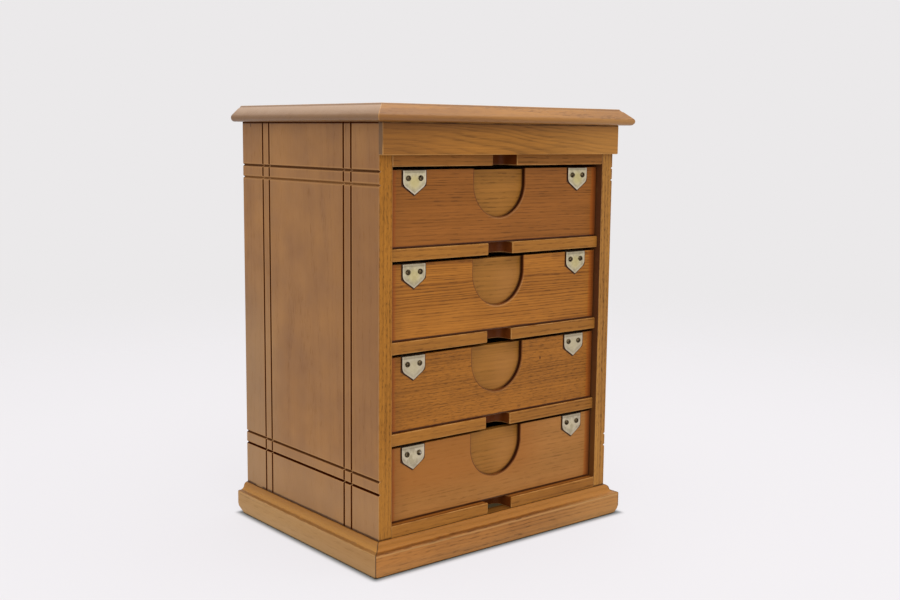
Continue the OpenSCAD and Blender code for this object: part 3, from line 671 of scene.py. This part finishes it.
# %% [markdown]
# ## Drawer fronts
#
# The four faces were sawn from different boards: the second has strong straight lines, the third short dark pores
# and a small knot, and the first and last are plainer. Their ends turn a deeper orange and then dark brown, and their
# left ends and lower edges are darker: painted shade where the case and the shelves shade them. The cut wall of the
# thumb cut-out and a line round its edge are painted dark, darkest on the right, as painted shade, and its arris is
# rubbed pale. The box front behind is painted lighter, as painted light against the cut-out's shade, and darker along
# the cut edge, partly grime and partly painted shade.

# %% Boards of the drawer fronts
THUMB_HALF = 36.25
THUMB_RISE = 26.8 + THUMB_HALF
PLATE_X, PLATE_HALF, PLATE_H = 115.8, 14.5, 25.3
SLOPE_RUN, SLOPE_RISE = math.sin(math.radians(34)), math.cos(math.radians(34))
FACE_FRONT, FACE_EDGE, CUT_WALL = (BACK, (), -114.9, -115.15), (BACK, (), -113.8, -114.6), (BACK, (), -115.0, -114.4)
FACES = {
    1: dict(tones=("#965a20", "#7c4812"), ring=3.2, ring_depth=0.35, pore_depth=0.45, pore_size=(18, 1.1),
            fibre_depth=1.1, wander=4),
    2: dict(tones=("#aa6b23", "#824c10"), ring=2.9, ring_depth=0.7, pore_depth=0.45, pore_size=(14, 1.2),
            fibre_depth=1.1, wander=4),
    3: dict(tones=("#a56720", "#7f4c11"), ring=3.4, ring_depth=0.4, pore_depth=0.48, pore_size=(8, 1.1),
            crowding=0.35, fibre_depth=1.2, wander=5),
    4: dict(tones=("#a97036", "#93622a"), ring=3.8, ring_depth=0.2, pore_depth=0.27, fibre_depth=0.9, wander=4),
}
# Drawer by drawer: how pale the rubbed arris of the cut-out is, how much painted light lifts the box front behind it
# out of the cut-out's shade, and how porous that box front is
RIM_LIGHT = {1: 0.25, 2: 0.4, 3: 0.15, 4: 0.05}
BOX_PAINTED_LIGHT = {1: 0.0, 2: 0.3, 3: 0.3, 4: 0.35}
BOX_PORES = {1: 0.4, 2: 0.3, 3: 0.16, 4: 0.22}
KNOT_FACE, KNOT = 3, (64.4, 197.1)
WARM_LEFT = {4: 0.6}
print("a thumb cut-out is", 2 * THUMB_HALF, "mm wide and a shield", 2 * PLATE_HALF, "by", PLATE_H, "mm")

# %% Drawer fronts
for n in DRAWERS:
    low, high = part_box(f"drawer_{n}_face")
    bottom, top = low[2] / MM, high[2] / MM
    thumb = (None, (0, bottom + THUMB_RISE, THUMB_HALF))
    tip, lean = (top - PLATE_H) * SLOPE_RISE, PLATE_X * SLOPE_RUN
    marks = [
        # Painted shade: the left end by the stile, the ends beside the case and a line along the lower edge
        ("#6b3f12", 0.3, 6.0, [(ACROSS, (), -118, -146)]),
        ("#94490c", 0.65, 4.0, [(OUT, (), 137.0, 141.0)]),
        ("#2e0c02", 0.93, 0.6, [(UP, (), bottom + 2.3, bottom + 1.2)]),
        ("#55260a", 0.8, 2.0, [(OUT, (), 138.5, 147.5)]),
        # Round the shield plate: partly grime, partly the plate's painted shadow
        ("#2e1406", 0.9, 0.6, [(OUT, (PLATE_X,), PLATE_HALF + 2.2, PLATE_HALF + 1.0),
                               ((SLOPE_RUN, 0, SLOPE_RISE), (), tip + lean - 2.0, tip + lean - 0.8),
                               ((-SLOPE_RUN, 0, SLOPE_RISE), (), tip - lean - 2.0, tip - lean - 0.8)]),
        ("#b98a58", RIM_LIGHT[n], 0.8, [FACE_FRONT, (*thumb, 2.8, 1.4), (UP, (), bottom + THUMB_RISE, bottom + 45),
                                        (ACROSS, (), -24, -4)]),
        # Painted shade: a dark line on the left arris of the cut-out
        ("#4f2a0e", 0.5, 0.6, [FACE_EDGE, (*thumb, 1.5, 0.7), (ACROSS, (), -8, -26)]),
        # Painted shade: the cut wall, darkest on its right, and a dark line round the cut edge
        ("#6b3208", 0.8, 0.2, [CUT_WALL, (*thumb, 1.4, 0.7)]),
        ("#260800", 0.94, 0.2, [CUT_WALL, (ACROSS, (), 2, 16)]),
        ("#5a2a0a", 0.75, 0.8, [(*thumb, 1.2, 0.6), FACE_EDGE]),
    ]
    if n in WARM_LEFT:
        marks.insert(0, ("#96591c", WARM_LEFT[n], 8.0, [(ACROSS, (), 85, 30), (UP, (), bottom + 8, bottom + 44)]))
    if n == KNOT_FACE:
        marks.append(("#3a1206", 0.8, 1.0, [(None, (*KNOT, 0.8), 0.9, -0.3), (UP, (KNOT[1],), 2.2, 1.2)]))
    finish = oak(f"golden_oak_drawer_{n}_face", "X", (90 * n, -70, bottom - 105 - 8 * n), pores="#3f2107",
                 gloss=0.46, wear_depth=0.15, marks=marks, **FACES[n])
    softened(f"drawer_{n}_face", finish, 0.6)
    # Box front: grime and painted shade along the cut edge, painted light where the cut-out shades it
    cut_edge_dirt_and_shade = ("#4a2a10", 0.6, 0.4, [(*thumb, -1.8, -0.4)])
    box_painted_light = ("#b1783f", BOX_PAINTED_LIGHT[n], 4.0, [(ACROSS, (), -15, 20), (UP, (), top - 6, top - 20)])
    finish = oak(f"golden_oak_drawer_{n}_box_front", "X", (60 * n, -90, bottom - 60), ("#a26b2a", "#84561c"),
                 "#4b2b0d", ring=4.4, ring_depth=BOX_PORES[n], pore_depth=BOX_PORES[n], wander=4, gloss=0.5,
                 marks=(box_painted_light, cut_edge_dirt_and_shade))
    softened(f"drawer_{n}_box_front", finish, 0.4)
print(len(FACES), "drawer fronts done")

# %% [markdown]
# ## Plain wood
#
# What doesn't show was made of a cheaper wood and left bare. Poplar is a dull, greenish tan, with wide soft rings and
# hardly a pore, and without shellac it has no gloss. The oak finish gives it too, with wide rings, weak pores and a
# rough surface.

# %% Plain wood inside and behind
PLAIN = {"back_board_left": "Z", "back_board_middle": "Z", "back_board_right": "Z", "plinth_back_rail": "X",
         "plinth_corner_blocks": "Z", "top_cleats": "Y"}
for n in DRAWERS:
    for part, grain in (("left_side", "Y"), ("right_side", "Y"), ("back", "X"), ("bottom", "X")):
        PLAIN[f"drawer_{n}_{part}"] = grain
for n, (node, grain) in enumerate(PLAIN.items()):
    finish = oak("raw_poplar_" + node, grain, (35 * n, 60, -80 - 13 * n), ("#b08a5a", "#8d693f"), "#66482a", ring=7.0,
                 ring_depth=0.4, pore_depth=0.2, wander=8, gloss=0.6, worn="#bd9c6c", wear_depth=0.4)
    softened(node, finish, 0.4)
print(len(PLAIN), "plain boards done")

# %% [markdown]
# ## Shield plates
#
# Two nickelled shields are bent over the top edge of each drawer front. Nickel on brass wears thin and goes a
# yellowish grey, brighter where a hand rubs the rim. Grime gathers round the edge of the plate, with painted shadow,
# and the bend over the top and the slanting edges are painted with shade, the bend also with a painted highlight.


# %% Nickel
# Grey patches about 6 mm across and specks about 1 mm across, as waves per mm
GREY_PATCH, SPECK = 0.16, 0.9
SHIELD_MIDDLE = 13.0


def nickel(name, front, top, silver, patina, brass, rub):
    """Old nickel plate of the colour silver, grey in patches by patina and yellow in its middle by brass, where the
    plating wore thin. It has blurred reflections, a rim rubbed bright by rub, painted shade inside the slanting edges
    and at the bend over the top, a painted highlight on the bend, and edges dark with grime and painted shadow (front
    and top are the plate's own, in mm)."""
    material, add, shader, spot = new_finish(name)
    # Where a point is on its shield: aside from the middle, up from the tip and in from the slanting edges
    x, y, z = add("SeparateXYZ", [spot]).node.outputs
    aside = add("Math", [x], operation="ABSOLUTE")
    aside = add("Math", [aside, PLATE_X], operation="SUBTRACT")
    aside = add("Math", [aside], operation="ABSOLUTE")
    slant = add("Math", [aside, -SLOPE_RUN], operation="MULTIPLY")
    rise = add("Math", [z, top - PLATE_H], operation="SUBTRACT")
    slant = add("Math", [rise, SLOPE_RISE, slant], operation="MULTIPLY_ADD")

    # Patina, thin plating, painted shade, a painted highlight on the bend and rubbed rims, one over the other
    clouds = add("TexNoise", {"Vector": spot, "Scale": GREY_PATCH, "Detail": 5.0, "Roughness": 0.65})
    clouds = add("MapRange", {"Value": clouds, "From Min": 0.42, "From Max": 0.62, "To Max": patina},
                 interpolation_type="SMOOTHSTEP")
    colour = add("Mix", {0: clouds, 6: linear(silver), 7: linear("#978b74")}, output=2, data_type="RGBA")
    middle = add("Math", [rise, SHIELD_MIDDLE], operation="SUBTRACT")
    middle = add("CombineXYZ", [aside, middle, 0.0])
    middle = add("VectorMath", [middle], output="Value", operation="LENGTH")
    brassy = (middle, 10.5, 3.0, brass, "#cdbd7c")
    painted_shade_bands = ((slant, 5.5, 2.6, 0.22, "#857658"), (rise, PLATE_H - 5.0, PLATE_H - 1.5, 0.4, "#8a7c60"),
             (rise, PLATE_H - 3.6, PLATE_H - 2.8, 0.25, "#4c4230"))
    # A painted highlight along the bend, then the rims rubbed bright
    rubbed = ((rise, PLATE_H - 2.4, PLATE_H - 1.6, 0.5, "#b9ad93"), (aside, 12.4, 13.6, rub, "#ded3bf"),
              (slant, 2.0, 0.9, rub, "#ded3bf"))
    for value, low, high, amount, tint in (brassy, *painted_shade_bands, *rubbed):
        inside = add("MapRange", {"Value": value, "From Min": low, "From Max": high, "To Max": amount},
                     interpolation_type="SMOOTHSTEP")
        colour = add("Mix", {0: inside, 6: colour, 7: linear(tint)}, output=2, data_type="RGBA")
    # Grime and painted shadow on the cut rim of the plate, against the wood
    rim = add("MapRange", {"Value": y, "From Min": front + 0.15, "From Max": front + 0.35},
              interpolation_type="SMOOTHSTEP")
    over = add("MapRange", {"Value": y, "From Min": front + 1.6, "From Max": front + 1.3},
               interpolation_type="SMOOTHSTEP")
    low = add("MapRange", {"Value": rise, "From Min": PLATE_H - 0.2, "From Max": PLATE_H - 0.8})
    rim = add("Math", [rim, over], operation="MULTIPLY")
    rim = add("Math", [rim, low], operation="MULTIPLY")
    colour = add("Mix", {0: rim, 6: colour, 7: linear("#20120a")}, output=2, data_type="RGBA")
    specks = add("TexNoise", {"Vector": spot, "Scale": SPECK, "Detail": 3.0})
    rough = add("MapRange", {"Value": specks, "From Min": 0.3, "From Max": 0.7, "To Min": 0.34, "To Max": 0.5})
    bump = add("Bump", {"Height": specks, "Strength": 0.12, "Distance": 0.1 * MM})
    fill(shader, {"Base Color": colour, "Roughness": rough, "Normal": bump, "Metallic": 1.0})
    return material


print("nickel for shields that stand", PLATE_X, "mm from the middle")

# %% Plates
PLATES = {
    1: dict(silver="#d2c7a6", patina=0.45, brass=0.7, rub=0.55),
    2: dict(silver="#d0c5a4", patina=0.5, brass=0.6, rub=0.3),
    3: dict(silver="#c6baa0", patina=0.25, brass=0.2, rub=0.25),
    4: dict(silver="#cbbfa5", patina=0.6, brass=0.15, rub=0.15),
}
for n in DRAWERS:
    node = f"drawer_{n}_shield_plates"
    low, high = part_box(node)
    softened(node, nickel(f"worn_nickel_plate_{n}", low[1] / MM, high[2] / MM, **PLATES[n]), 0.3,
             least=0)
print(2 * len(DRAWERS), "shield plates done")

# %% [markdown]
# ## Screws and nails
#
# Each shield is held by two round-head screws, gone nearly black, with their slots at odd angles. They repeat, so a
# Geometry Nodes tree makes one screw, a dome with a slot sawn across it on a plain shank, and sets copies of it on
# the points where the CAD screws are. The tree's result is turned into a plain mesh, one for each drawer. Their dark
# skin reflects only a little, which makes them read as small dark dots with a glint.


# %% Dark steel
# Waves per mm of the rust, about 1.7 mm long, and how far (mm) a painted glint reaches
RUST_SPECK, GLINT_REACH = 0.6, 2.6


def dark_steel(name, tones, gloss, bright=()):
    """Steel with a dark skin of old oil and rust, a little brighter in patches, with a painted glint on the heads at
    the seats in bright."""
    material, add, shader, spot = new_finish(name)
    specks = add("TexNoise", {"Vector": spot, "Scale": RUST_SPECK, "Detail": 4.0})
    patchy = add("MapRange", {"Value": specks, "From Min": 0.4, "From Max": 0.65})
    colour = add("Mix", {0: patchy, 6: linear(tones[0]), 7: linear(tones[1])}, output=2, data_type="RGBA")
    for seat in bright:
        away = add("VectorMath", [spot, seat / MM], output="Value", operation="DISTANCE")
        glinting = add("MapRange", {"Value": away, "From Min": GLINT_REACH, "From Max": 0.6 * GLINT_REACH, "To Max": 0.9},
                      interpolation_type="SMOOTHSTEP")
        colour = add("Mix", {0: glinting, 6: colour, 7: linear("#cbc4b4")}, output=2, data_type="RGBA")
    rough = add("MapRange", {"Value": specks, "From Min": 0.3, "From Max": 0.7, "To Min": gloss,
                             "To Max": gloss + 0.2})
    fill(shader, {"Base Color": colour, "Roughness": rough, "Metallic": 1.0})
    return material


print("a scraped screw is bright for", GLINT_REACH, "mm")


# %% Shared ends of the fastener trees
def new_tree(name, sizes):
    """A tree with inputs for points, these sizes, a seed and a material, what adds nodes to it, and those inputs."""
    tree = bpy.data.node_groups.new(name, "GeometryNodeTree")
    kinds = {"Points": "Geometry", **dict.fromkeys(sizes, "Float"), "Seed": "Int", "Material": "Material"}
    for key, kind in kinds.items():
        tree.interface.new_socket(key, in_out="INPUT", socket_type="NodeSocket" + kind)
    tree.interface.new_socket("Fasteners", in_out="OUTPUT", socket_type="NodeSocketGeometry")
    add = partial(add_node, tree)
    return tree, add, add("NodeGroupInput").node.outputs


def on_shank(add, given, head, sides):
    """The head joined with a shank of so many sides that runs down from the origin."""
    thin = add("Math", [given["Shank Diameter"], 0.5], operation="MULTIPLY")
    shank = add("GeometryNodeMeshCylinder", {"Vertices": sides, "Radius": thin, "Depth": given["Shank Length"]},
                output="Mesh")
    sink = add("Math", [given["Shank Length"], -0.5], operation="MULTIPLY")
    sink = add("CombineXYZ", [0.0, 0.0, sink])
    shank = add("GeometryNodeTransform", {"Geometry": shank, "Translation": sink})
    whole = add("GeometryNodeJoinGeometry", {0: head})
    fill(whole.node, {0: shank})
    return whole


def set_on_points(add, given, fastener, tilt, most_spin):
    """Ends a tree: a copy of the fastener on every point, tilted, and spun about its own axis at random."""
    spin = add("FunctionNodeRandomValue", {2: 0.0, 3: most_spin, "Seed": given["Seed"]}, output=1, data_type="FLOAT")
    turn = add("CombineXYZ", [tilt, spin, 0.0])
    turn = add("FunctionNodeEulerToRotation", [turn])
    set_on = add("GeometryNodeInstanceOnPoints", {"Points": given["Points"], "Instance": fastener, "Rotation": turn})
    real = add("GeometryNodeRealizeInstances", {0: set_on})
    finish = add("GeometryNodeSetMaterial", {"Geometry": real, "Material": given["Material"]})
    add("NodeGroupOutput", [finish])


HEAD_SIZES, SHANK_SIZES = ("Head Diameter", "Head Height"), ("Shank Diameter", "Shank Length")
print("sizes that screws and nails share:", *HEAD_SIZES, *SHANK_SIZES)


# %% Screw tree
def screw_tree(name):
    """Geometry Nodes that set a domed, slotted screw on every point, its axis along the given tilt."""
    tree, add, given = new_tree(name, (*HEAD_SIZES, "Slot Width", "Slot Depth", *SHANK_SIZES, "Tilt", "Spin"))
    # The head is the upper half of a squashed ball, and the slot a box that is cut out of it
    half = add("Math", [given["Head Diameter"], 0.5], operation="MULTIPLY")
    ball = add("GeometryNodeMeshUVSphere", {"Segments": 28, "Rings": 16, "Radius": 1.0}, output="Mesh")
    squash = add("CombineXYZ", [half, half, given["Head Height"]])
    ball = add("GeometryNodeTransform", {"Geometry": ball, "Scale": squash})
    wide = add("Math", [given["Head Diameter"], 2.0], operation="MULTIPLY")
    block = add("CombineXYZ", [wide, wide, wide])
    block = add("GeometryNodeMeshCube", {"Size": block}, output="Mesh")
    down = add("CombineXYZ", [0.0, 0.0, given["Head Diameter"]])
    down = add("VectorMath", [down, (0, 0, -1)], operation="MULTIPLY")
    block = add("GeometryNodeTransform", {"Geometry": block, "Translation": down})
    slot_size = add("Math", [given["Slot Depth"], 2.0], operation="MULTIPLY")
    slot_size = add("CombineXYZ", [wide, given["Slot Width"], slot_size])
    slot = add("GeometryNodeMeshCube", {"Size": slot_size}, output="Mesh")
    rise = add("CombineXYZ", [0.0, 0.0, given["Head Height"]])
    slot = add("GeometryNodeTransform", {"Geometry": slot, "Translation": rise})
    head = add("GeometryNodeMeshBoolean", {"Mesh 1": ball, "Mesh 2": block}, output="Mesh", operation="DIFFERENCE",
               solver="EXACT")
    head = add("GeometryNodeMeshBoolean", {"Mesh 1": head, "Mesh 2": slot}, output="Mesh", operation="DIFFERENCE",
               solver="EXACT")
    whole = on_shank(add, given, head, 16)
    set_on_points(add, given, whole, given["Tilt"], given["Spin"])
    return tree


shield_screws = screw_tree("round_head_screws")
print("screw tree of", len(shield_screws.nodes), "nodes")


# %% Seats of the fasteners
def loose_boxes(node):
    """The lowest and highest corners (m) of each separate solid in a CAD node."""
    net = merged(node)
    boxes = []
    left = set(net.verts)
    while left:
        heap = [left.pop()]
        solid = list(heap)
        while heap:
            for edge in heap.pop().link_edges:
                for vert in edge.verts:
                    if vert in left:
                        left.remove(vert)
                        heap.append(vert)
                        solid.append(vert)
        boxes.append([Vector([pick(v.co[i] for v in solid) for i in range(3)]) for pick in (min, max)])
    net.free()
    return sorted(boxes, key=lambda box: tuple(box[0]))


def fasteners(node, tree, seats, sizes, material):
    """Runs the tree on these seats and makes its mesh the piece that stands for the CAD node."""
    points = bpy.data.meshes.new(node + "_points")
    points.from_pydata(seats, [], [])
    holder = bpy.data.objects.new(node + "_holder", points)
    scene.collection.objects.link(holder)
    run = holder.modifiers.new("fasteners", "NODES")
    run.node_group = tree
    for item in tree.interface.items_tree:
        if item.in_out == "INPUT" and item.name in sizes:
            run[item.identifier] = sizes[item.name]
        if item.name == "Material":
            run[item.identifier] = material
    shown = holder.evaluated_get(bpy.context.evaluated_depsgraph_get())
    mesh = bpy.data.meshes.new_from_object(shown)
    bpy.data.objects.remove(holder)
    for polygon in mesh.polygons:
        polygon.use_smooth = True
    return dress(node, mesh, [material])


print(len(loose_boxes("back_nails")), "nails in the back")

# %% Shield screws
SCREW_HEAD, SCREW_DOME, SCREW_SLOT, SCREW_SHANK = 6.0 * MM, 2.2 * MM, 0.9 * MM, 2.7 * MM
# A painted glint on one screw head of the fourth drawer
SCREW_GLINT = Vector((1.0, 0, 0.6)) * MM
GLINTING_SCREWS = {4: (1,)}
for n in DRAWERS:
    node = f"drawer_{n}_shield_screws"
    boxes = loose_boxes(node)
    seats = [((a.x + b.x) / 2, a.y + SCREW_DOME, (a.z + b.z) / 2) for a, b in boxes]
    screw_finish = dark_steel(f"blackened_steel_screws_{n}", ("#251b12", "#726349"), 0.3,
                              [Vector(seats[i]) + SCREW_GLINT for i in GLINTING_SCREWS.get(n, ())])
    sizes = {"Head Diameter": SCREW_HEAD, "Head Height": SCREW_DOME, "Slot Width": SCREW_SLOT,
             "Slot Depth": SCREW_SLOT, "Shank Diameter": SCREW_SHANK,
             "Shank Length": boxes[0][1].y - seats[0][1], "Tilt": math.pi / 2, "Spin": math.pi, "Seed": n}
    piece = fasteners(node, shield_screws, seats, sizes, screw_finish)
    print(piece.name, len(piece.data.polygons), "faces on", len(seats), "seats")

# %% [markdown]
# The back is nailed on. Each nail is a flat, hammered head with a sloping rim on a thin shank, and the same kind of
# tree sets one at every nail of the CAD model. The four screws that hold the top are out of sight, so their CAD
# shapes stay and only get a steel finish.


# %% Nail tree
def nail_tree(name):
    """Geometry Nodes that set a flat-headed nail on every point, driven in towards the front."""
    tree, add, given = new_tree(name, (*HEAD_SIZES, *SHANK_SIZES, "Rim Slope"))
    wide = add("Math", [given["Head Diameter"], 0.5], operation="MULTIPLY")
    rim = add("Math", [wide, given["Rim Slope"]], operation="SUBTRACT")
    head = add("GeometryNodeMeshCone", {"Vertices": 20, "Radius Top": rim, "Radius Bottom": wide,
                                        "Depth": given["Head Height"]}, output="Mesh")
    whole = on_shank(add, given, head, 10)
    set_on_points(add, given, whole, -math.pi / 2, math.pi)
    return tree


back_nails = nail_tree("flat_head_nails")
print("nail tree of", len(back_nails.nodes), "nodes")

# %% Nails and hidden screws
NAIL_HEAD, NAIL_THICK, NAIL_SHANK, NAIL_SLOPE = 3.4 * MM, 0.6 * MM, 1.6 * MM, 0.25 * MM
boxes = loose_boxes("back_nails")
seats = [((a.x + b.x) / 2, b.y - NAIL_THICK, (a.z + b.z) / 2) for a, b in boxes]
sizes = {"Head Diameter": NAIL_HEAD, "Head Height": NAIL_THICK, "Shank Diameter": NAIL_SHANK,
         "Shank Length": seats[0][1] - boxes[0][0].y, "Rim Slope": NAIL_SLOPE, "Seed": 7}
nail_finish = dark_steel("rusty_steel_nails", ("#3b2c22", "#6a4a33"), 0.5)
piece = fasteners("back_nails", back_nails, seats, sizes, nail_finish)
print(piece.name, len(piece.data.polygons), "faces on", len(seats), "seats")
cleat_finish = dark_steel("dull_steel_cleat_screws", ("#4a443e", "#6b645b"), 0.42)
cleat_slots = frame["nodes"]["top_cleat_screws"].material_slots
for finish_slot in cleat_slots:
    finish_slot.material = cleat_finish
print("cleat screws keep their CAD shape, in", len(cleat_slots), "finish")
